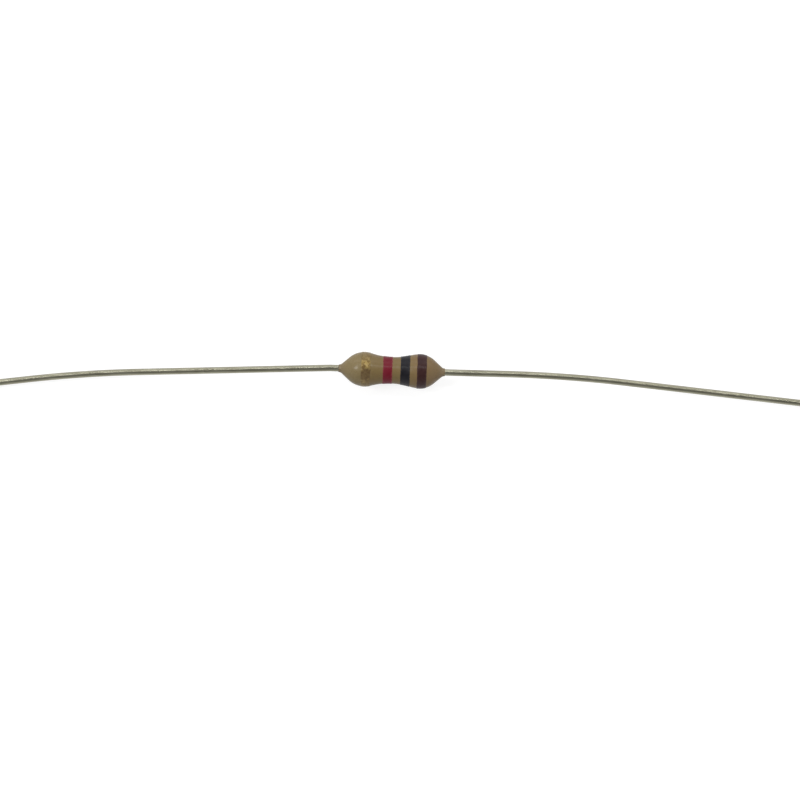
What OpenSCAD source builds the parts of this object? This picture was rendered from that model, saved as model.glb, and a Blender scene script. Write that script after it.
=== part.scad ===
// Axial carbon film resistor with a dog-bone body and two long leads.
// It lies on a flat surface as it would come to rest: on the two crests of its
// body and on the tips of its bowed leads. The body's axis runs along X, the
// leads bow towards -Y, and the origin is on the surface under the body's middle.
// Sizes are in millimetres.

/* [Ceramic rod] */
// Diameter of the ceramic rod
rod_d = 1.6; // [1.3:0.05:2]
// Length of the ceramic rod
rod_l = 4.7; // [4.4:0.1:6]
// Chamfer round each end of the rod
rod_chamfer = 0.1; // [0.05:0.01:0.15]

/* [Resistive film] */
// Thickness of the carbon film, drawn thicker than the real one
film_t = 0.02; // [0.015:0.005:0.04]
// Turns of the trimming groove
groove_turns = 5; // [3:1:6]
// Width of the trimming groove along the axis
groove_w = 0.13; // [0.1:0.01:0.2]
// Depth that the groove reaches into the ceramic
groove_depth = 0.03; // [0.02:0.01:0.06]
// Bare distance between the groove and each end cap
groove_margin = 0.2; // [0.15:0.05:0.4]

/* [End caps] */
// Wall of a drawn end cap
cap_wall = 0.15; // [0.1:0.01:0.2]
// Length of an end cap, from its closed face to its open rim
cap_l = 1.15; // [0.9:0.05:1.3]
// Radius of the rounded edge at the closed face
cap_edge_r = 0.24; // [0.21:0.01:0.3]

/* [Lacquer coat] */
// Thickness of the lacquer over an end cap, at the crest
coat_over_cap = 0.21; // [0.15:0.01:0.3]
// Thickness of the lacquer over the film, at the waist
coat_over_film = 0.1; // [0.08:0.01:0.14]
// Distance that the lacquer runs out along a lead beyond the cap's face
coat_runout = 1.15; // [1.05:0.05:1.3]
// Thickness of the lacquer where it ends on a lead
coat_lip = 0.04; // [0.02:0.01:0.08]
// Radius of the shoulder between a crest and the waist
shoulder_r = 2.4; // [1.8:0.1:3]
// Radius of the dome between a crest and the neck
dome_r = 1.5; // [1.1:0.05:1.6]
// Radius of the hollow where the dome runs onto a lead
neck_r = 0.35; // [0.2:0.05:0.4]

/* [Colour bands] */
// Thickness of the painted bands
paint_t = 0.02; // [0.015:0.005:0.04]
// Width of a painted band
band_w = 0.65; // [0.5:0.01:0.75]
// Width of the thin edge on each side of a band
band_feather = 0.03; // [0.02:0.01:0.06]
// Distance of the gold band's middle from its crest, towards the waist
gold_inset = 0.14; // [0:0.01:0.2]
// Distance of the brown band's middle from its crest, towards the neck
brown_outset = 0.135; // [0:0.005:0.2]
// Distance between the middles of the brown and black bands
brown_to_black = 1.14; // [1:0.01:1.3]
// Distance between the middles of the black and red bands
black_to_red = 1.2; // [1:0.01:1.3]

/* [Leads] */
// Diameter of the lead wire
lead_d = 0.45; // [0.35:0.01:0.6]
// Length of a lead beyond the lacquer
lead_l = 28; // [25:0.5:38]
// Diameter of the welded head that joins a lead to its cap
weld_d = 0.8; // [0.7:0.05:0.95]
// Thickness of the welded head
weld_t = 0.1; // [0.06:0.01:0.15]
// Radius of the fillet between the welded head and the wire
weld_fillet = 0.12; // [0.06:0.01:0.15]
// Straight stretch of a lead between the lacquer and its first bend
neck_run = 0.4; // [0.2:0.05:1]
// Radius of the small bend beside the lacquer
neck_bend_r = 6; // [2:0.5:10]

/* [Bow of the left lead] */
// Angle of the small bend beside the lacquer
left_neck_deg = 3.7; // [2:0.1:6]
// Straight stretch up to the bow
left_run = 13; // [10:0.1:14.5]
// Radius of the bow
left_bow_r = 82; // [60:1:100]
// Angle of the bow
left_bow_deg = 5.3; // [3:0.1:6]

/* [Bow of the right lead] */
// Angle of the small bend beside the lacquer, below zero away from the bow
right_neck_deg = -0.9; // [-1.5:0.1:3]
// Straight stretch up to the bow
right_run = 3.7; // [2:0.1:8]
// Radius of the bow
right_bow_r = 75; // [50:1:90]
// Angle of the bow
right_bow_deg = 6.2; // [5:0.1:8]

/* [Hidden] */

// Facets of round pieces, and of the wide bends in the leads
$fn = 64;
wire_fn = 32;
bend_fn = 720;
// Straight steps in each arc of an outline
arc_steps = 10;
// Steps of the groove in each turn
groove_steps = 24;
// Overlap that lets a cut pass clean through a surface
cut = 0.02;
// Straight wire laps over the ends of a bend by this much, and stands this much
// proud of it, so that the two always join
lap = 0.02;
lap_proud = 0.001;

rod_r = rod_d / 2;
film_r = rod_r + film_t;
cap_r = film_r + cap_wall;
lead_r = lead_d / 2;

// Places along the body's axis, counted from its middle
cap_face_x = rod_l / 2 + cap_wall;
cap_rim_x = cap_face_x - cap_l;
crest_x = cap_face_x - cap_l / 2;
neck_x = cap_face_x + coat_runout;

// Radii of the lacquer's outline
waist_r = film_r + coat_over_film;
crest_r = cap_r + coat_over_cap;
lip_r = lead_r + coat_lip;

// The body rests on the painted crests
axis_h = crest_r + paint_t;

// Middles of the bands along the axis
gold_x = gold_inset - crest_x;
brown_x = crest_x + brown_outset;
black_x = brown_x - brown_to_black;
red_x = black_x - black_to_red;

// The waist's arc meets the shoulder's arc where both have the same slope
crest_rise = crest_r - waist_r;
arc_radii = (crest_x * crest_x + crest_rise * crest_rise) / (2 * crest_rise);
waist_arc_r = arc_radii - shoulder_r;
saddle_angle = asin(crest_x / arc_radii);

// The dome's arc and the neck's hollow share one straight tangent. A full dome
// leaves the hollow less room, so its radius is at most what fits beside the dome.
dome_l = neck_x - crest_x;
dome_drop = crest_r - lip_r;
shortest_tangent = 0.05;
room_r = (pow(dome_l, 2) + pow(dome_drop, 2) - pow(shortest_tangent, 2)) / (2 * dome_drop);
hollow_r = min(neck_r, room_r - dome_r);
dome_radii = dome_r + hollow_r;
tangent_reach = norm([dome_l, dome_radii - dome_drop]);
dome_angle = asin(dome_radii / tangent_reach) - atan2(dome_radii - dome_drop, dome_l);

// Points of an arc about [cx, cy], from one angle to another
function arc(cx, cy, r, from, to) = [
    for (i = [0 : arc_steps])
        let (a = from + (to - from) * i / arc_steps)
            [cx + r * cos(a), cy + r * sin(a)]
];

// Outline of the lacquer's right half, from the waist's middle to the neck
half_skin = concat(
    arc(0, waist_r + waist_arc_r, waist_arc_r, -90, saddle_angle - 90),
    arc(crest_x, crest_r - shoulder_r, shoulder_r, 90 + saddle_angle, 90),
    arc(crest_x, crest_r - dome_r, dome_r, 90, 90 - dome_angle),
    arc(neck_x, lip_r + hollow_r, hollow_r, -90 - dome_angle, -90)
);

// A point that only repeats the one before it, where two arcs meet, is left out
function distinct(points) = [
    for (i = [0 : len(points) - 1])
        if (i == 0 || norm(points[i] - points[i - 1]) > 0.0001) points[i]
];

right_skin = distinct(half_skin);
left_skin = [for (i = [len(right_skin) - 1 : -1 : 1]) [-right_skin[i][0], right_skin[i][1]]];
skin = concat(left_skin, right_skin);

// The part of the skin between two places along the axis, for what lies on it
function skin_between(low, high) = concat(
    [[low, lookup(low, skin)]],
    [for (p = skin) if (p[0] > low + 0.001 && p[0] < high - 0.001) p],
    [[high, lookup(high, skin)]]
);

// Length and sideways reach of a lead, from its bends
function bend_l(r, angle) = r * abs(angle) * PI / 180;
function tip_run(run, bow_r, neck_bend, bow) =
    lead_l - neck_run - bend_l(neck_bend_r, neck_bend) - run - bend_l(bow_r, bow);
function tip_reach(neck_bend, run, bow_r, bow) =
    sign(neck_bend) * neck_bend_r * (1 - cos(neck_bend))
    + run * sin(neck_bend)
    + bow_r * (cos(neck_bend) - cos(neck_bend + bow))
    + tip_run(run, bow_r, neck_bend, bow) * sin(neck_bend + bow);

// Roll of a bowed lead about the body's axis at which its tip meets the surface.
// A lead with too little bow to reach the surface hangs straight down.
function lead_roll(reach) = asin(min(1, (axis_h - lead_r) / reach));

// Stands what is drawn about the Z axis along the body's axis, at resting height
module on_axis() {
    translate([0, 0, axis_h])
        rotate([0, 90, 0])
            children();
}

// Turns a ring or a solid whose outline is given as [place along axis, radius]
module turned(outline) {
    on_axis()
        rotate_extrude()
            polygon([for (p = outline) [p[1], p[0]]]);
}

// Draws one end's piece as given, or turned round to the other end
module at_end(side) {
    rotate([0, 0, side < 0 ? 180 : 0])
        children();
}

// The spiral cut that trims the film, as one swept bar of rectangular section
module trimming_cut() {
    start_x = -cap_rim_x + groove_margin;
    length = 2 * (cap_rim_x - groove_margin) - groove_w;
    steps = groove_turns * groove_steps;
    floor_r = rod_r - groove_depth;
    top_r = film_r + 2 * cut;
    section = [[floor_r, 0], [top_r, 0], [top_r, groove_w], [floor_r, groove_w]];
    points = [
        for (i = [0 : steps], p = section)
            let (a = 360 * i / groove_steps, x = start_x + length * i / steps)
                [x + p[1], p[0] * cos(a), p[0] * sin(a)]
    ];
    sides = [
        for (i = [0 : steps - 1], j = [0 : 3])
            let (a = 4 * i + j, b = 4 * i + (j + 1) % 4)
                each [[b, a + 4, a], [b + 4, a + 4, b]]
    ];
    last = 4 * steps;
    ends = [[3, 2, 1, 0], [last, last + 1, last + 2, last + 3]];
    translate([0, 0, axis_h])
        polyhedron(points, concat(sides, ends));
}

// The ceramic rod that carries the film, scored by the trimming cut
module ceramic_core() {
    end_x = rod_l / 2;
    color("ivory")
        difference() {
            turned([
                [-end_x, 0],
                [-end_x, rod_r - rod_chamfer],
                [rod_chamfer - end_x, rod_r],
                [end_x - rod_chamfer, rod_r],
                [end_x, rod_r - rod_chamfer],
                [end_x, 0]
            ]);
            trimming_cut();
        }
}

// The film's full sleeve, before it is trimmed
module film_sleeve(bore_r) {
    end_x = rod_l / 2 - rod_chamfer;
    turned([[-end_x, bore_r], [-end_x, film_r], [end_x, film_r], [end_x, bore_r]]);
}

// The carbon film, which the cut leaves as a spiral track between two bands
module resistive_film() {
    color([0.22, 0.22, 0.24])
        difference() {
            film_sleeve(rod_r);
            trimming_cut();
        }
}

// An end cap's outer form, filled
module cap_blank() {
    turned(concat(
        [[cap_rim_x, 0], [cap_rim_x, cap_r]],
        arc(cap_face_x - cap_edge_r, cap_r - cap_edge_r, cap_edge_r, 90, 0),
        [[cap_face_x, 0]]
    ));
}

// A drawn steel cup, pressed over the end of the rod
module end_cap(side) {
    seat_x = rod_l / 2;
    bore_edge_r = cap_edge_r - cap_wall;
    color([0.72, 0.71, 0.68])
        at_end(side)
            difference() {
                cap_blank();
                turned(concat(
                    [[cap_rim_x - cut, 0], [cap_rim_x - cut, film_r]],
                    arc(seat_x - bore_edge_r, film_r - bore_edge_r, bore_edge_r, 90, 0),
                    [[seat_x, 0]]
                ));
            }
}

module left_end_cap() end_cap(-1);
module right_end_cap() end_cap(1);

// The welded head on a cap's face, the fillet onto the wire, and the wire up to a
// given place along the axis
module lead_root(end_x) {
    head_r = weld_d / 2;
    wire_r = lead_r + lap_proud;
    fillet_x = cap_face_x + weld_t + weld_fillet;
    turned(concat(
        [[cap_face_x, 0], [cap_face_x, head_r], [cap_face_x + weld_t, head_r]],
        arc(fillet_x, wire_r + weld_fillet, weld_fillet, 180, 270),
        [[end_x, wire_r], [end_x, 0]]
    ));
}

// A straight stretch of wire along X, and the place where it ends. It laps over
// the bend before it, and over what follows it.
module wire_run(length, end_lap) {
    translate([-lap, 0, 0])
        rotate([0, 90, 0])
            cylinder(r = lead_r + lap_proud, h = lap + length + end_lap, $fn = wire_fn);
    translate([length, 0, 0])
        children();
}

// A bend from X towards -Y, or towards +Y below zero, and the place where it ends
module wire_bend(r, angle) {
    turn = abs(angle);
    way = sign(angle);
    if (turn > 0)
        translate([0, -way * r, 0])
            rotate_extrude(angle = turn, start = way > 0 ? 90 - turn : -90, $fn = bend_fn)
                translate([r, 0])
                    circle(r = lead_r, $fn = wire_fn);
    translate([r * sin(turn), way * r * (cos(turn) - 1), 0])
        rotate([0, 0, -angle])
            children();
}

// A whole lead, which runs straight out of the lacquer and then bows in a plane
// that is rolled until the tip meets the surface
module lead(side, neck_bend, run, bow_r, bow) {
    straight_x = neck_x + neck_run;
    color([0.66, 0.65, 0.6])
        at_end(side) {
            lead_root(straight_x + lap);
            translate([straight_x, 0, axis_h])
                rotate([side * lead_roll(tip_reach(neck_bend, run, bow_r, bow)), 0, 0])
                    wire_bend(neck_bend_r, side * neck_bend)
                        wire_run(run, lap)
                            wire_bend(bow_r, side * bow)
                                wire_run(tip_run(run, bow_r, neck_bend, bow), 0);
        }
}

module left_lead() lead(-1, left_neck_deg, left_run, left_bow_r, left_bow_deg);
module right_lead() lead(1, right_neck_deg, right_run, right_bow_r, right_bow_deg);

// The dipped lacquer, which fills everything between its skin and the pieces
// inside, the trimming groove too
module lacquer_coat() {
    color([0.68, 0.58, 0.41])
        difference() {
            turned(concat([[-neck_x, 0]], skin, [[neck_x, 0]]));
            difference() {
                film_sleeve(0);
                trimming_cut();
            }
            for (side = [-1, 1])
                at_end(side) {
                    cap_blank();
                    lead_root(neck_x + cut);
                }
        }
}

// A painted ring that follows the lacquer's skin and thins out at both edges
module band(x) {
    low = x - band_w / 2;
    high = x + band_w / 2;
    outer = skin_between(low + band_feather, high - band_feather);
    turned(concat(
        skin_between(low, high),
        [for (i = [len(outer) - 1 : -1 : 0]) outer[i] + [0, paint_t]]
    ));
}

module gold_band() color([0.76, 0.6, 0.3]) band(gold_x);
module red_band() color([0.68, 0.13, 0.25]) band(red_x);
module black_band() color([0.15, 0.15, 0.2]) band(black_x);
module brown_band() color([0.35, 0.18, 0.18]) band(brown_x);

ceramic_core();
resistive_film();
left_end_cap();
right_end_cap();
left_lead();
right_lead();
lacquer_coat();
gold_band();
red_band();
black_band();
brown_band();
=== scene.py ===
import math

import bmesh
import bpy
from mathutils import Matrix, Vector, noise


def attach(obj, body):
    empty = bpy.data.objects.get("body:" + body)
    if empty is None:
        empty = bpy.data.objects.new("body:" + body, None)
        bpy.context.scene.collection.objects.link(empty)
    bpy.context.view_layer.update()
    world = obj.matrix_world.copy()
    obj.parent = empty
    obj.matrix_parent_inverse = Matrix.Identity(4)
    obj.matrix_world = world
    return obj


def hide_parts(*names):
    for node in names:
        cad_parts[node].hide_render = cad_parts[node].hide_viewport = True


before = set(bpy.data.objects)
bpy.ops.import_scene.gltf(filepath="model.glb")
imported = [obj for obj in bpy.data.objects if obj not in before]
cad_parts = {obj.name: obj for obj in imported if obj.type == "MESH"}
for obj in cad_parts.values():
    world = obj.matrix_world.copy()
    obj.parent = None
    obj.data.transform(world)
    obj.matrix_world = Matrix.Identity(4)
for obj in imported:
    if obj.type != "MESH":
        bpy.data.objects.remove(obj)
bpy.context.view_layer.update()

MM = 0.001

# Sizes of the resistor in millimetres, as in the part's source
ROD_L = 4.7
FILM_R = 0.82
CAP_WALL = 0.15
CAP_R = FILM_R + CAP_WALL
CAP_L = 1.15
CAP_EDGE_R = 0.24
COAT_OVER_FILM = 0.1
COAT_OVER_CAP = 0.21
COAT_RUNOUT = 1.15
COAT_LIP = 0.04
SHOULDER_R = 2.4
DOME_R = 1.5
NECK_R = 0.35
PAINT_T = 0.02
BAND_W = 0.65
BAND_FEATHER = 0.03
GOLD_INSET = 0.14
BROWN_OUTSET = 0.135
BROWN_TO_BLACK = 1.14
BLACK_TO_RED = 1.2
LEAD_R = 0.225
LEAD_L = 28
WELD_R = 0.4
WELD_T = 0.1
WELD_FILLET = 0.12
NECK_RUN = 0.4
NECK_BEND_R = 6

# Radii of the lacquer, and the height of the body's axis over the floor
WAIST_R = FILM_R + COAT_OVER_FILM
CREST_R = CAP_R + COAT_OVER_CAP
LIP_R = LEAD_R + COAT_LIP
AXIS_H = CREST_R + PAINT_T

# Places along the body's axis, counted from its middle
CAP_FACE_X = ROD_L / 2 + CAP_WALL
CAP_RIM_X = CAP_FACE_X - CAP_L
CREST_X = CAP_FACE_X - CAP_L / 2
NECK_X = CAP_FACE_X + COAT_RUNOUT

# Middles of the bands
GOLD_X = GOLD_INSET - CREST_X
BROWN_X = CREST_X + BROWN_OUTSET
BLACK_X = BROWN_X - BROWN_TO_BLACK
RED_X = BLACK_X - BLACK_TO_RED

# Small edges that only the visible pieces have
COAT_SAG = 0.012
LIP_EDGE = 0.012
HEAD_EDGE = 0.02
CUT_EDGE = 0.015

# How finely the pieces are cut
SKIN_STEPS = 16
TURN_STEPS = 160
BAND_STEPS = 14
WIRE_SIDES = 28


# Outline of the lacquer

def arc(cx, cy, r, start, end, steps):
    """Points of an arc about (cx, cy), from one angle in degrees to another."""
    angles = [math.radians(start + (end - start) * i / steps) for i in range(steps + 1)]
    return [(cx + r * math.cos(a), cy + r * math.sin(a)) for a in angles]


def right_half_of_skin():
    """The lacquer's outline from the middle of its waist to its right neck."""
    rise = CREST_R - WAIST_R
    radii = (CREST_X ** 2 + rise ** 2) / (2 * rise)
    saddle = math.degrees(math.asin(CREST_X / radii))
    waist_arc_r = radii - SHOULDER_R
    length, drop, curl = NECK_X - CREST_X, CREST_R - LIP_R, DOME_R + NECK_R
    reach = math.hypot(length, curl - drop)
    dome = math.degrees(math.asin(curl / reach) - math.atan2(curl - drop, length))
    pieces = (
        arc(0, WAIST_R + waist_arc_r, waist_arc_r, -90, saddle - 90, SKIN_STEPS),
        arc(CREST_X, CREST_R - SHOULDER_R, SHOULDER_R, 90 + saddle, 90, SKIN_STEPS),
        arc(CREST_X, CREST_R - DOME_R, DOME_R, 90, 90 - dome, SKIN_STEPS),
        arc(NECK_X, LIP_R + NECK_R, NECK_R, -90 - dome, -90, SKIN_STEPS),
    )
    same_point = 0.0001
    points = []
    for piece in pieces:
        points += [p for p in piece if not points or math.dist(p, points[-1]) > same_point]
    return points


def mirrored(points):
    """The same outline on the other half of the body."""
    return [(-x, r) for x, r in reversed(points)]


HALF_SKIN = right_half_of_skin()
SKIN = mirrored(HALF_SKIN)[:-1] + HALF_SKIN


def skin_radius(x):
    """The lacquer's radius at a place along the axis."""
    for (x0, r0), (x1, r1) in zip(SKIN, SKIN[1:]):
        if x0 <= x <= x1:
            return r0 + (r1 - r0) * (x - x0) / (x1 - x0)
    return LIP_R


# Shaping

def mesh_object(name, bm, material, smooth_angle=35):
    """Makes a piece of a finished bmesh, with its normals recalculated and its sharp edges kept."""
    bmesh.ops.recalc_face_normals(bm, faces=bm.faces)
    limit = math.radians(smooth_angle)
    for face in bm.faces:
        face.smooth = True
    for edge in bm.edges:
        edge.smooth = not (edge.is_manifold and edge.calc_face_angle() > limit)
    mesh = bpy.data.meshes.new(name)
    bm.to_mesh(mesh)
    bm.free()
    mesh.materials.append(material)
    piece = bpy.data.objects.new(name, mesh)
    bpy.context.scene.collection.objects.link(piece)
    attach(piece, "root")
    return piece


def turned(outline):
    """A ring turned about the body's axis from a closed outline of (x, radius) in millimetres."""
    bm = bmesh.new()
    verts = [bm.verts.new((x * MM, 0, r * MM)) for x, r in outline]
    edges = [bm.edges.new((a, b)) for a, b in zip(verts, verts[1:] + verts[:1])]
    bmesh.ops.spin(bm, geom=verts + edges, cent=(0, 0, 0), axis=(1, 0, 0), dvec=(0, 0, 0),
                   angle=2 * math.pi, steps=TURN_STEPS, use_merge=True, use_duplicate=False)
    bmesh.ops.remove_doubles(bm, verts=bm.verts, dist=1e-8)
    return bm


def raise_to_axis(bm):
    """Lifts a piece that was made about the origin to the height of the body's axis."""
    bmesh.ops.translate(bm, verts=bm.verts, vec=(0, 0, AXIS_H * MM))


def around(vert):
    """A vertex's place along the axis, angle about it and distance from it, before it is raised."""
    return (vert.co.x / MM, math.atan2(vert.co.z, vert.co.y),
            math.hypot(vert.co.y, vert.co.z) / MM)


def ripple(x, angle, scale, seed):
    """Smooth noise from -1 to 1 on the surface of the body."""
    at = Vector((x, math.cos(angle), math.sin(angle))) * scale
    return noise.noise(at + Vector((seed, 0, 0)))


def coat_sag(x, angle):
    """How far the dipped lacquer falls short of its full radius, in millimetres."""
    fade_length = 0.6
    depth = 0.5 + 0.5 * ripple(x, angle, scale=1.3, seed=4)
    fade = min(1, (NECK_X - abs(x)) / fade_length)
    return COAT_SAG * depth * fade


def sink_skin(bm):
    """Gives the lacquer's outer surface the small hollows of a dipped coat."""
    near_skin = 0.005
    for vert in bm.verts:
        x, angle, radius = around(vert)
        if radius > skin_radius(x) - near_skin:
            factor = (radius - coat_sag(x, angle)) / radius
            vert.co.y *= factor
            vert.co.z *= factor


def extrude_ring(bm, ring, move):
    """Extrudes a ring of edges and moves the new ring. Returns the new ring's edges."""
    made = bmesh.ops.extrude_edge_only(bm, edges=ring)["geom"]
    verts = [g for g in made if isinstance(g, bmesh.types.BMVert)]
    for vert in verts:
        vert.co = move @ vert.co
    edges = [g for g in made if isinstance(g, bmesh.types.BMEdge)]
    return [edge for edge in edges if all(v in verts for v in edge.verts)]


# Lacquer and bands

def weld_fillet(head_end, steps):
    """The fillet from a welded head down to its wire, as places along the axis and radii."""
    return arc(head_end + WELD_FILLET, LEAD_R + WELD_FILLET, WELD_FILLET, 180, 270, steps)


def lacquer_coat(material):
    """The lacquer as a closed shell, with the seats of the cap, the film and the weld inside.

    The recalculated normals of this one shell point inwards.
    """
    cap_edge = arc(CAP_FACE_X - CAP_EDGE_R, CAP_R - CAP_EDGE_R, CAP_EDGE_R, 90, 0, steps=6)
    weld_x = CAP_FACE_X + WELD_T
    seat = [(CAP_RIM_X, FILM_R), (CAP_RIM_X, CAP_R)] + cap_edge
    seat += [(CAP_FACE_X, WELD_R), (weld_x, WELD_R)] + weld_fillet(weld_x, steps=5)
    seat += [(NECK_X, LEAD_R)]
    lip = [(NECK_X, LIP_R - LIP_EDGE), (NECK_X - LIP_EDGE / 3, LIP_R - LIP_EDGE / 4)]
    outside = mirrored(lip) + SKIN[1:-1] + lip[::-1]
    bm = turned(outside + seat[::-1] + mirrored(seat)[::-1])
    sink_skin(bm)
    raise_to_axis(bm)
    piece = mesh_object("lacquer_coat_dipped", bm, material)
    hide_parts("lacquer_coat")


def band_outline(middle):
    """A band's cross-section: on the lacquer inside, feathered at its two edges outside."""
    low, high = middle - BAND_W / 2, middle + BAND_W / 2
    xs = [low + (high - low) * i / BAND_STEPS for i in range(BAND_STEPS + 1)]
    inner = [(x, skin_radius(x)) for x in xs]
    feather = (0.35, 1)
    edge_rise = 0.7
    outer_xs = [low + BAND_FEATHER * f for f in feather]
    outer_xs += [x for x in xs if outer_xs[-1] < x < high - BAND_FEATHER]
    outer_xs += [high - BAND_FEATHER * f for f in reversed(feather)]
    rise = {outer_xs[0]: edge_rise, outer_xs[-1]: edge_rise}
    outer = [(x, skin_radius(x) + PAINT_T * rise.get(x, 1)) for x in outer_xs]
    return inner + outer[::-1]


def edge_stray(side, angle, seed):
    """How far a band's edge strays on its way round, as a long wave and a short one."""
    long_wave = ripple(math.copysign(3, side), angle, scale=2.2, seed=seed)
    return long_wave + 0.5 * ripple(side, angle, scale=7, seed=seed + 9)


def painted_band(name, node, middle, material, seed, wander=0.02):
    """A painted ring that hugs the lacquer, with the slightly uneven edges of printed paint."""
    bm = turned(band_outline(middle))
    for vert in bm.verts:
        x, angle, radius = around(vert)
        side = (x - middle) / (BAND_W / 2)
        shift = wander * edge_stray(side, angle, seed) * abs(side) ** 3
        slope = skin_radius(x + shift) - skin_radius(x)
        factor = (radius + slope - coat_sag(x + shift, angle)) / radius
        vert.co.x += shift * MM
        vert.co.y *= factor
        vert.co.z *= factor
    raise_to_axis(bm)
    piece = mesh_object(name, bm, material)
    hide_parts(node)


# Leads

def lead_reach(neck_bend, run, bow_r, bow):
    """How far a lead's tip reaches sideways, and its last straight stretch, in millimetres."""
    tip = LEAD_L - NECK_RUN - NECK_BEND_R * abs(neck_bend) - run - bow_r * bow
    way = math.copysign(1, neck_bend)
    reach = way * NECK_BEND_R * (1 - math.cos(neck_bend)) + run * math.sin(neck_bend)
    reach += bow_r * (math.cos(neck_bend) - math.cos(neck_bend + bow))
    return reach + tip * math.sin(neck_bend + bow), tip


def along(length):
    """A move along the wire, in millimetres."""
    return Matrix.Translation((length * MM, 0, 0))


def widen(factor):
    """A change of the wire's width."""
    return Matrix.Diagonal((1, factor, factor, 1))


def run_on(bm, ring, place, length, steps):
    """Draws the wire on along a straight stretch. Returns its new end and where that is."""
    for _ in range(steps):
        step = place @ along(length / steps) @ place.inverted()
        ring = extrude_ring(bm, ring, step)
        place = step @ place
    return ring, place


def bend_on(bm, ring, place, r, angle, steps):
    """Draws the wire on round a bend. Returns its new end and where that is."""
    centre = Matrix.Translation((0, -math.copysign(1, angle) * r * MM, 0))
    turn = centre @ Matrix.Rotation(-angle / steps, 4, "Z") @ centre.inverted()
    for _ in range(steps):
        step = place @ turn @ place.inverted()
        ring = extrude_ring(bm, ring, step)
        place = step @ place
    return ring, place


def welded_head():
    """The welded head and the fillet behind it, as places from the cap's face and radii."""
    face_r = WELD_R - HEAD_EDGE
    head = [(0, face_r), (HEAD_EDGE, WELD_R), (WELD_T - HEAD_EDGE, WELD_R), (WELD_T, face_r)]
    return head + weld_fillet(WELD_T, steps=6)


def lead_wire(name, node, side, material, neck_bend, run, bow_r, bow):
    """A lead with its welded head, swept from one circle through its runs and bends.

    Its bends lie in one plane, which is rolled about the axis until the tip rests on the floor.
    """
    neck_bend, bow = math.radians(neck_bend), math.radians(bow)
    reach, tip_run = lead_reach(neck_bend, run, bow_r, bow)
    roll = math.asin((AXIS_H - LEAD_R) / reach)
    bm = bmesh.new()
    circle = bmesh.ops.create_circle(bm, cap_ends=False, segments=WIRE_SIDES, radius=LEAD_R * MM,
                                     matrix=Matrix.Rotation(math.pi / 2, 4, "Y"))
    face = list({edge for vert in circle["verts"] for edge in vert.link_edges})

    head = welded_head()
    face_factor = head[0][1] / LEAD_R
    bmesh.ops.scale(bm, vec=(1, face_factor, face_factor), verts=circle["verts"])
    ring = face
    for (x0, r0), (x1, r1) in zip(head, head[1:]):
        ring = extrude_ring(bm, ring, along(x1 - x0) @ widen(r1 / r0))

    head_l = WELD_T + WELD_FILLET
    first_run = NECK_X + NECK_RUN - CAP_FACE_X - head_l
    ring, place = run_on(bm, ring, along(head_l), first_run, steps=6)
    place = place @ Matrix.Rotation(roll, 4, "X")
    ring, place = bend_on(bm, ring, place, NECK_BEND_R, neck_bend, steps=5)
    ring, place = run_on(bm, ring, place, run, steps=10)
    ring, place = bend_on(bm, ring, place, bow_r, bow, steps=16)
    ring, place = run_on(bm, ring, place, tip_run - CUT_EDGE, steps=12)
    cut = place @ along(CUT_EDGE) @ widen(1 - CUT_EDGE / LEAD_R) @ place.inverted()
    ring = extrude_ring(bm, ring, cut)
    bmesh.ops.contextual_create(bm, geom=ring)
    bmesh.ops.contextual_create(bm, geom=face)
    bmesh.ops.translate(bm, verts=bm.verts, vec=(CAP_FACE_X * MM, 0, AXIS_H * MM))
    if side < 0:
        bmesh.ops.scale(bm, vec=(-1, 1, 1), verts=bm.verts)
    piece = mesh_object(name, bm, material, smooth_angle=50)
    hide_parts(node)


# Colours

def srgb(red, green, blue):
    """A colour as a screen shows it, from 0 to 255, in the linear values that shaders take."""
    def linear(value):
        value /= 255
        return value / 12.92 if value <= 0.04045 else ((value + 0.055) / 1.055) ** 2.4
    return (linear(red), linear(green), linear(blue), 1)


WHITE = (1, 1, 1, 1)

LACQUER_OLIVE = srgb(133, 117, 83)
LACQUER_TAN = srgb(121, 101, 65)
LACQUER_PINK = srgb(125, 101, 69)
LACQUER_DARK = srgb(104, 86, 56)
LACQUER_MOSS = srgb(120, 106, 64)
LACQUER_THIN = srgb(128, 112, 86)

# A band's paint: its colour, where it is worn, and its thin edges
RED = srgb(108, 16, 34), srgb(114, 30, 44), srgb(146, 92, 84)
BLACK = srgb(21, 20, 26), srgb(32, 31, 36), srgb(64, 58, 54)
BROWN = srgb(52, 27, 28), srgb(62, 38, 36), srgb(84, 62, 52)

# Two shades of gold flake on the worn top of the band and on its fresh sides
GOLD_WORN = srgb(112, 90, 48), srgb(154, 132, 80)
GOLD_FRESH = srgb(142, 112, 54), srgb(164, 132, 68)
GOLD_STAIN = srgb(98, 76, 56)

TIN_LIGHT = srgb(158, 156, 138)
TIN_DARK = srgb(136, 134, 116)
TIN_STAIN = srgb(118, 114, 98)
STEEL_LIGHT = srgb(190, 186, 176)
STEEL_DARK = srgb(158, 153, 142)
CERAMIC_LIGHT = srgb(236, 232, 220)
CERAMIC_DARK = srgb(212, 206, 190)
CARBON_DARK = srgb(52, 52, 56)
CARBON_GREY = srgb(78, 77, 80)


# Materials

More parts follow.
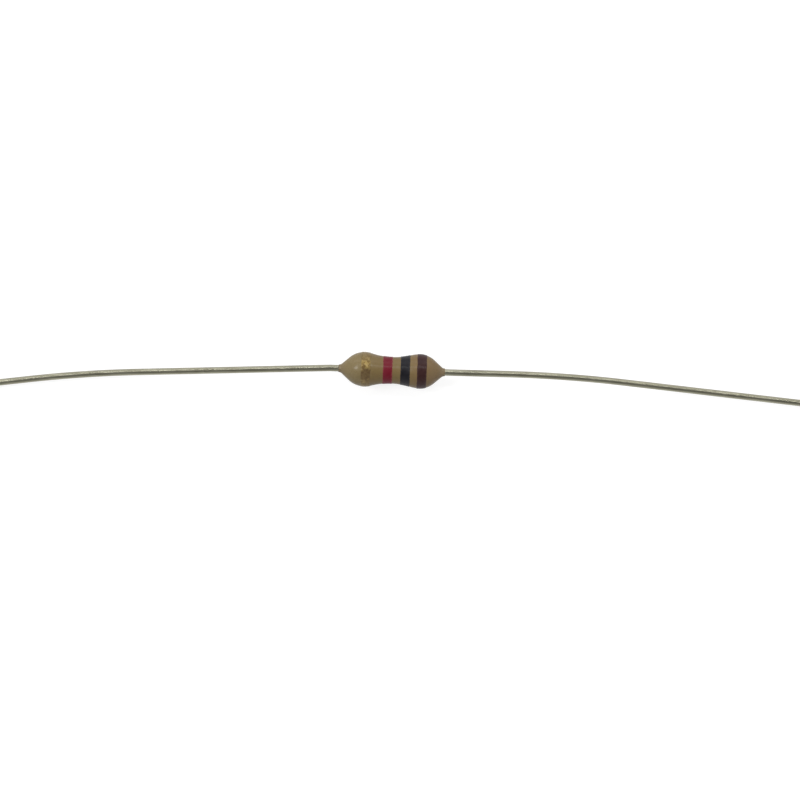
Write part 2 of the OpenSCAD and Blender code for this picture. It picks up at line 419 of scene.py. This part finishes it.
class Nodes:
    """Adds shader nodes to a material and joins them. Places and scales are in millimetres."""

    def __init__(self, name):
        self.material = bpy.data.materials.new(name)
        self.material.use_nodes = True
        self.tree = self.material.node_tree
        self.shader = self.tree.nodes["Principled BSDF"]
        self.place = self.add("ShaderNodeTexCoord").outputs["Object"]

    def add(self, kind, **settings):
        node = self.tree.nodes.new(kind)
        for key, value in settings.items():
            setattr(node, key, value)
        return node

    def link(self, value, socket):
        """Joins an output to a socket, or sets the socket to a number or a colour."""
        if isinstance(value, (int, float, tuple)):
            socket.default_value = value
        else:
            self.tree.links.new(value, socket)

    def mapping(self, scale=(1, 1, 1), location=(0, 0, 0)):
        """Object coordinates in millimetres, stretched by a scale along each axis."""
        node = self.add("ShaderNodeMapping")
        node.inputs["Scale"].default_value = [s / MM for s in scale]
        node.inputs["Location"].default_value = location
        self.link(self.place, node.inputs["Vector"])
        return node.outputs["Vector"]

    def axes(self, vector):
        node = self.add("ShaderNodeSeparateXYZ")
        self.link(vector, node.inputs["Vector"])
        return node.outputs

    def noise(self, vector, scale, detail, roughness=0.55):
        node = self.add("ShaderNodeTexNoise")
        node.inputs["Scale"].default_value = scale
        node.inputs["Detail"].default_value = detail
        node.inputs["Roughness"].default_value = roughness
        self.link(vector, node.inputs["Vector"])
        return node.outputs["Fac"]

    def range(self, value, low, high, to_low=0.0, to_high=1.0):
        node = self.add("ShaderNodeMapRange")
        node.inputs["From Min"].default_value = low
        node.inputs["From Max"].default_value = high
        node.inputs["To Min"].default_value = to_low
        node.inputs["To Max"].default_value = to_high
        self.link(value, node.inputs["Value"])
        return node.outputs["Result"]

    def spread(self, value, to_low=0.0, to_high=1.0):
        """Spreads a noise, most of which lies between 0.3 and 0.7, over two values."""
        return self.range(value, 0.3, 0.7, to_low, to_high)

    def math(self, operation, a, b=0):
        node = self.add("ShaderNodeMath", operation=operation)
        self.link(a, node.inputs[0])
        self.link(b, node.inputs[1])
        return node.outputs["Value"]

    def times(self, a, b):
        return self.math("MULTIPLY", a, b)

    def larger(self, a, b):
        return self.math("MAXIMUM", a, b)

    def mix(self, factor, a, b):
        node = self.add("ShaderNodeMix", data_type="RGBA")
        self.link(factor, node.inputs[0])
        first, second = (socket for socket in node.inputs if socket.type == "RGBA")
        self.link(a, first)
        self.link(b, second)
        return next(socket for socket in node.outputs if socket.type == "RGBA")

    def patch(self, centre, radius, strength):
        """A ragged patch about a point in millimetres, from 1 at its middle to 0 outside."""
        place = self.mapping([1 / radius] * 3, [-c / radius for c in centre])
        ball = self.add("ShaderNodeTexGradient", gradient_type="SPHERICAL")
        self.link(place, ball.inputs["Vector"])
        ragged = self.spread(self.noise(place, 3.5, 3), -0.35, 0.35)
        inside = self.times(self.math("ADD", ball.outputs["Fac"], ragged), strength)
        return self.range(self.times(inside, ball.outputs["Fac"]), 0, 0.35)

    def band_rim(self, middle, seed):
        """1 along a band's two edges and 0 inside, with a ragged limit."""
        rim_w = 0.07
        place = self.mapping(location=(-middle, seed, 0))
        ragged = self.spread(self.noise(place, 6, 3), -0.04, 0.04)
        off = self.math("ADD", self.math("ABSOLUTE", self.axes(place)["X"]), ragged)
        return self.range(off, BAND_W / 2 - rim_w, BAND_W / 2)

    def bump(self, height, depth):
        node = self.add("ShaderNodeBump")
        node.inputs["Strength"].default_value = 1
        node.inputs["Distance"].default_value = depth * MM
        self.link(height, node.inputs["Height"])
        self.link(node.outputs["Normal"], self.shader.inputs["Normal"])

    def colour(self, output):
        self.link(output, self.shader.inputs["Base Color"])

    def roughness(self, output):
        self.link(output, self.shader.inputs["Roughness"])

    def set(self, **values):
        for key, value in values.items():
            self.shader.inputs[key.replace("_", " ")].default_value = value

    def gloss(self, weight, roughness):
        """A clear glossy skin over a matt colour."""
        self.set(Coat_Weight=weight, Coat_Roughness=roughness, Coat_IOR=1.5,
                 Specular_IOR_Level=0.05)


def lacquer_colour(n):
    """The mottled tan of the lacquer: olive at the gold band's end, pinker at the brown one's."""
    body = n.mapping()
    x = n.axes(body)["X"]
    x_ragged = n.math("ADD", x, n.spread(n.noise(body, 1.3, 4), -0.35, 0.35))
    olive_to_tan = n.range(x_ragged, -2.3, -1.1)
    tan_to_pink = n.range(x_ragged, 0.6, 1.7)
    thin_neck = n.range(n.math("ABSOLUTE", x), 3.1, 3.6)
    fleck = n.range(n.noise(body, 13, 3), 0.52, 0.72, 0, 0.4)
    mottle = n.range(n.noise(body, 4.5, 3), 0.35, 0.65, 0, 0.3)
    shade = n.mix(olive_to_tan, LACQUER_OLIVE, LACQUER_TAN)
    shade = n.mix(tan_to_pink, shade, LACQUER_PINK)
    shade = n.mix(fleck, shade, LACQUER_DARK)
    shade = n.mix(mottle, shade, LACQUER_MOSS)
    return n.mix(thin_neck, shade, LACQUER_THIN)


def lacquer():
    """Dipped lacquer with a soft gloss and faint waves."""
    n = Nodes("tan_lacquer")
    n.colour(lacquer_colour(n))
    n.roughness(n.spread(n.noise(n.mapping(), 22, 3), 0.42, 0.6))
    n.bump(n.noise(n.mapping(), 4, 3), depth=0.003)
    n.gloss(weight=0.42, roughness=0.26)
    return n.material


def paint(name, colours, middle, seed):
    """Opaque band paint, worn thin in specks and along its edges."""
    fresh, worn, edge = colours
    n = Nodes(name)
    place = n.mapping(location=(seed, 0, 0))
    cloud = n.range(n.noise(place, 2.2, 4), 0.35, 0.7)
    speck = n.range(n.noise(place, 16, 4), 0.56, 0.7)
    shade = n.mix(cloud, fresh, worn)
    shade = n.mix(n.times(speck, 0.4), shade, worn)
    n.colour(n.mix(n.times(n.band_rim(middle, seed), 0.5), shade, edge))
    n.roughness(n.spread(n.noise(place, 20, 3), 0.42, 0.6))
    n.bump(n.noise(place, 9, 4), depth=0.004)
    n.gloss(weight=0.3, roughness=0.26)
    return n.material


# The first spot is a painted highlight: gold painted fuller and lighter on top, where the lamp's
# reflection falls. The second spot is a real darker stain.
GOLD_PAINTED_HIGHLIGHT_SPOT = (-1.84, 0.42, AXIS_H + 1.08)
GOLD_STAIN_SPOT = (-1.75, -0.4, AXIS_H + 1.08)


def gold_cover(n, place, across, fresh):
    """How much of the lacquer the gold hides: all but its edges at the sides, less on top, and more
    in one spot on top, a painted highlight where the lamp's reflection falls.
    """
    worn = n.range(n.math("ABSOLUTE", across["Y"]), 0.45, 1.0, 1.0, 0.45)
    patches = n.range(n.noise(place, 3.2, 4, 0.6), 0.38, 0.62, 0.4, 0.9)
    # Fuller, lighter gold in the spot on top, a painted highlight
    patches = n.larger(patches, n.patch(GOLD_PAINTED_HIGHLIGHT_SPOT, radius=0.75, strength=1.3))
    patches = n.larger(patches, n.times(fresh, 0.75))
    inside = n.math("SUBTRACT", 1, n.times(n.band_rim(GOLD_X, 2), 0.7))
    return n.times(n.times(patches, n.larger(worn, fresh)), inside)


def gold_paint():
    """Metallic gold paint, thin enough that the tan lacquer shows through in patches."""
    n = Nodes("gold_paint")
    place = n.mapping(location=(5, 0, 0))
    across = n.axes(n.mapping())
    height = n.math("ADD", across["Z"], n.spread(n.noise(place, 3, 3), -0.3, 0.3))
    fresh = n.range(height, AXIS_H - 0.45, AXIS_H + 0.55, 1.0, 0.0)
    flake = n.range(n.noise(place, 5, 2, 0.6), 0.43, 0.58)
    gold = n.mix(fresh, n.mix(flake, *GOLD_WORN), n.mix(flake, *GOLD_FRESH))
    cover = gold_cover(n, place, across, fresh)
    shade = n.mix(cover, lacquer_colour(n), gold)
    stain = n.times(n.patch(GOLD_STAIN_SPOT, radius=0.8, strength=1.0), 0.6)
    n.colour(n.mix(stain, shade, GOLD_STAIN))
    n.link(n.times(cover, 0.8), n.shader.inputs["Metallic"])
    n.roughness(n.range(flake, 0, 1, 0.54, 0.44))
    n.bump(n.noise(place, 5, 3), depth=0.004)
    n.gloss(weight=0.3, roughness=0.24)
    return n.material


def tinned_wire():
    """Dull tin plate with fine drawing lines along the wire and small dark stains."""
    n = Nodes("tinned_wire")
    line = n.noise(n.mapping((0.25, 6, 6)), 1.2, 2)
    stain = n.range(n.noise(n.mapping((0.5, 1, 1)), 1.6, 5), 0.45, 0.68)
    tin = n.mix(n.range(line, 0.35, 0.65), TIN_LIGHT, TIN_DARK)
    n.colour(n.mix(n.times(stain, 0.5), tin, TIN_STAIN))
    n.roughness(n.spread(n.noise(n.mapping((0.4, 2, 2)), 1, 2), 0.27, 0.29))
    n.bump(line, depth=0.0005)
    n.set(Metallic=1.0)
    return n.material


def plated_cap():
    """Drawn and plated steel, with faint rings from the press tool."""
    n = Nodes("cap_steel")
    rings = n.noise(n.mapping((12, 0.6, 0.6)), 1.4, 3)
    n.colour(n.mix(n.spread(rings), STEEL_LIGHT, STEEL_DARK))
    n.roughness(n.spread(n.noise(n.mapping(), 6, 3), 0.25, 0.42))
    n.bump(rings, depth=0.004)
    n.set(Metallic=1.0)
    return n.material


def rod_ceramic():
    """Fired white ceramic, slightly warm and grainy."""
    n = Nodes("white_ceramic")
    grain = n.noise(n.mapping(), 12, 5)
    n.colour(n.mix(n.range(grain, 0.35, 0.7), CERAMIC_LIGHT, CERAMIC_DARK))
    n.roughness(n.spread(grain, 0.5, 0.75))
    n.bump(grain, depth=0.006)
    return n.material


def carbon():
    """Baked carbon, nearly black with a grey sheen."""
    n = Nodes("carbon_film")
    place = n.mapping()
    cloud = n.noise(place, 6, 4)
    n.colour(n.mix(n.spread(cloud), CARBON_DARK, CARBON_GREY))
    n.roughness(n.spread(n.noise(place, 24, 3), 0.32, 0.5))
    n.bump(cloud, depth=0.003)
    return n.material


def dress(node, material):
    """Gives a CAD node its finished material."""
    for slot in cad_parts[node].material_slots:
        slot.material = material


# The set: floor, lamps and camera, in metres

FLOOR_R = 1.2
BACKDROP_H = 0.3
FLOOR_GREY = 0.3
FLOOR_GLOW = 0.82
GLOW_FROM = 0.06
GLOW_FULL = 0.5
WORLD_LEVEL = 0.33
LAMP_REACH = 0.5


def floor_paper():
    """Grey paper that keeps the shadow, and glows white as the eye, metal and gloss see it."""
    n = Nodes("floor_paper")
    n.set(Base_Color=(FLOOR_GREY, FLOOR_GREY, FLOOR_GREY, 1), Roughness=0.9,
          Specular_IOR_Level=0.0, Emission_Color=WHITE)
    paths = n.add("ShaderNodeLightPath").outputs
    seen = n.larger(paths["Is Camera Ray"], paths["Is Transmission Ray"])
    seen = n.larger(seen, paths["Is Glossy Ray"])
    from_body = n.add("ShaderNodeVectorMath", operation="LENGTH")
    n.link(n.place, from_body.inputs[0])
    glow = n.range(from_body.outputs["Value"], GLOW_FROM, GLOW_FULL, FLOOR_GLOW, 1.0)
    n.link(n.times(seen, glow), n.shader.inputs["Emission Strength"])
    return n.material


def floor(material):
    """A round sheet of paper whose rim turns up into a low backdrop."""
    bm = bmesh.new()
    bmesh.ops.create_circle(bm, cap_ends=True, segments=96, radius=FLOOR_R)
    extrude_ring(bm, bm.edges[:], Matrix.Translation((0, 0, BACKDROP_H)))
    bmesh.ops.recalc_face_normals(bm, faces=bm.faces)
    bmesh.ops.reverse_faces(bm, faces=bm.faces)
    mesh = bpy.data.meshes.new("floor")
    bm.to_mesh(mesh)
    bm.free()
    mesh.materials.append(material)
    piece = bpy.data.objects.new("floor", mesh)
    bpy.context.scene.collection.objects.link(piece)


# The way from the body to a lamp, as the camera sees it
TOP, BOTTOM, LEFT, RIGHT = (0, 1), (0, -1), (-1, 0), (1, 0)
NEARLY_LEFT = (-0.985, 0.17)


def softbox(name, side, low, high, spread, brightness):
    """A soft lamp on one side of the photograph, seen from the body between two heights.

    The heights are angles in degrees from straight above, and the spread is the angle that
    the lamp fills to either side. A brightness of 1 looks white in a mirror.
    """
    tilt = math.radians((low + high) / 2)
    way = Vector((side[0] * math.sin(tilt), side[1] * math.sin(tilt), math.cos(tilt)))
    width = 2 * LAMP_REACH * math.tan(math.radians(spread))
    depth = 2 * LAMP_REACH * math.tan(math.radians(high - low) / 2)
    light = bpy.data.lights.new(name, "AREA")
    light.shape = "RECTANGLE"
    light.size = width
    light.size_y = depth
    light.energy = brightness * math.pi * width * depth
    piece = bpy.data.objects.new(name, light)
    piece.location = Vector((0, 0, AXIS_H * MM)) + way * LAMP_REACH
    piece.rotation_euler = way.to_track_quat("Z", "Y").to_euler()
    bpy.context.scene.collection.objects.link(piece)


def lights():
    """A tube and a broad lamp above, weak lamps on the other sides, and a small spot."""
    softbox("tube", TOP, low=28, high=32, spread=35, brightness=10.5)
    softbox("key", TOP, low=50, high=78, spread=50, brightness=1.4)
    softbox("left_side", LEFT, low=50, high=80, spread=35, brightness=0.3)
    softbox("right_side", RIGHT, low=50, high=80, spread=35, brightness=0.8)
    softbox("front_fill", BOTTOM, low=46, high=76, spread=50, brightness=0.25)
    softbox("left_spot", NEARLY_LEFT, low=34, high=48, spread=7, brightness=16)


def room():
    """The plain light of the room."""
    world = bpy.data.worlds.new("studio")
    bpy.context.scene.world = world
    world.use_nodes = True
    background = world.node_tree.nodes["Background"]
    background.inputs["Color"].default_value = WHITE
    background.inputs["Strength"].default_value = WORLD_LEVEL


# The photograph's framing: where the body's middle lies in it, in its pixels
FRAME_PX = 800
BODY_PX = (391.75, 370.3)
MM_PER_PX = 0.0686
BODY_TURN = math.radians(2.25)
LENS_MM = 100
SENSOR_MM = 36


def camera():
    """Looks straight down, turned so that the body's right end lies a little lower."""
    data = bpy.data.cameras.new("camera")
    data.lens = LENS_MM
    data.sensor_width = SENSOR_MM
    data.clip_start = 0.01
    data.clip_end = 10
    piece = bpy.data.objects.new("camera", data)
    bpy.context.scene.collection.objects.link(piece)
    px = MM_PER_PX * MM
    right = Vector((math.cos(BODY_TURN), math.sin(BODY_TURN), 0))
    up = Vector((-math.sin(BODY_TURN), math.cos(BODY_TURN), 0))
    across = (FRAME_PX / 2 - BODY_PX[0]) * px
    down = (FRAME_PX / 2 - BODY_PX[1]) * px
    height = FRAME_PX * px * LENS_MM / SENSOR_MM
    piece.location = right * across - up * down + Vector((0, 0, AXIS_H * MM + height))
    piece.rotation_euler = (0, 0, BODY_TURN)
    bpy.context.scene.camera = piece


def build():
    """Makes every piece of the resistor and gives each its material."""
    lacquer_coat(lacquer())

    gold = gold_paint()
    painted_band("gold_band_paint", "gold_band", GOLD_X, gold, seed=2,
                 wander=0.05)
    red = paint("red_paint", RED, RED_X, seed=3)
    painted_band("red_band_paint", "red_band", RED_X, red, seed=11)
    black = paint("black_paint", BLACK, BLACK_X, seed=7)
    painted_band("black_band_paint", "black_band", BLACK_X, black, seed=23)
    brown = paint("brown_paint", BROWN, BROWN_X, seed=9)
    painted_band("brown_band_paint", "brown_band", BROWN_X, brown, seed=31)

    wire = tinned_wire()
    lead_wire("left_lead_wire", "left_lead", -1, wire, neck_bend=3.7, run=13, bow_r=82, bow=5.3)
    lead_wire("right_lead_wire", "right_lead", 1, wire, neck_bend=-0.9, run=3.7, bow_r=75, bow=6.2)

    cap = plated_cap()
    dress("left_end_cap", cap)
    dress("right_end_cap", cap)
    dress("ceramic_core", rod_ceramic())
    dress("resistive_film", carbon())


build()
floor(floor_paper())
lights()
room()
camera()
bpy.context.scene.view_settings.view_transform = "Standard"
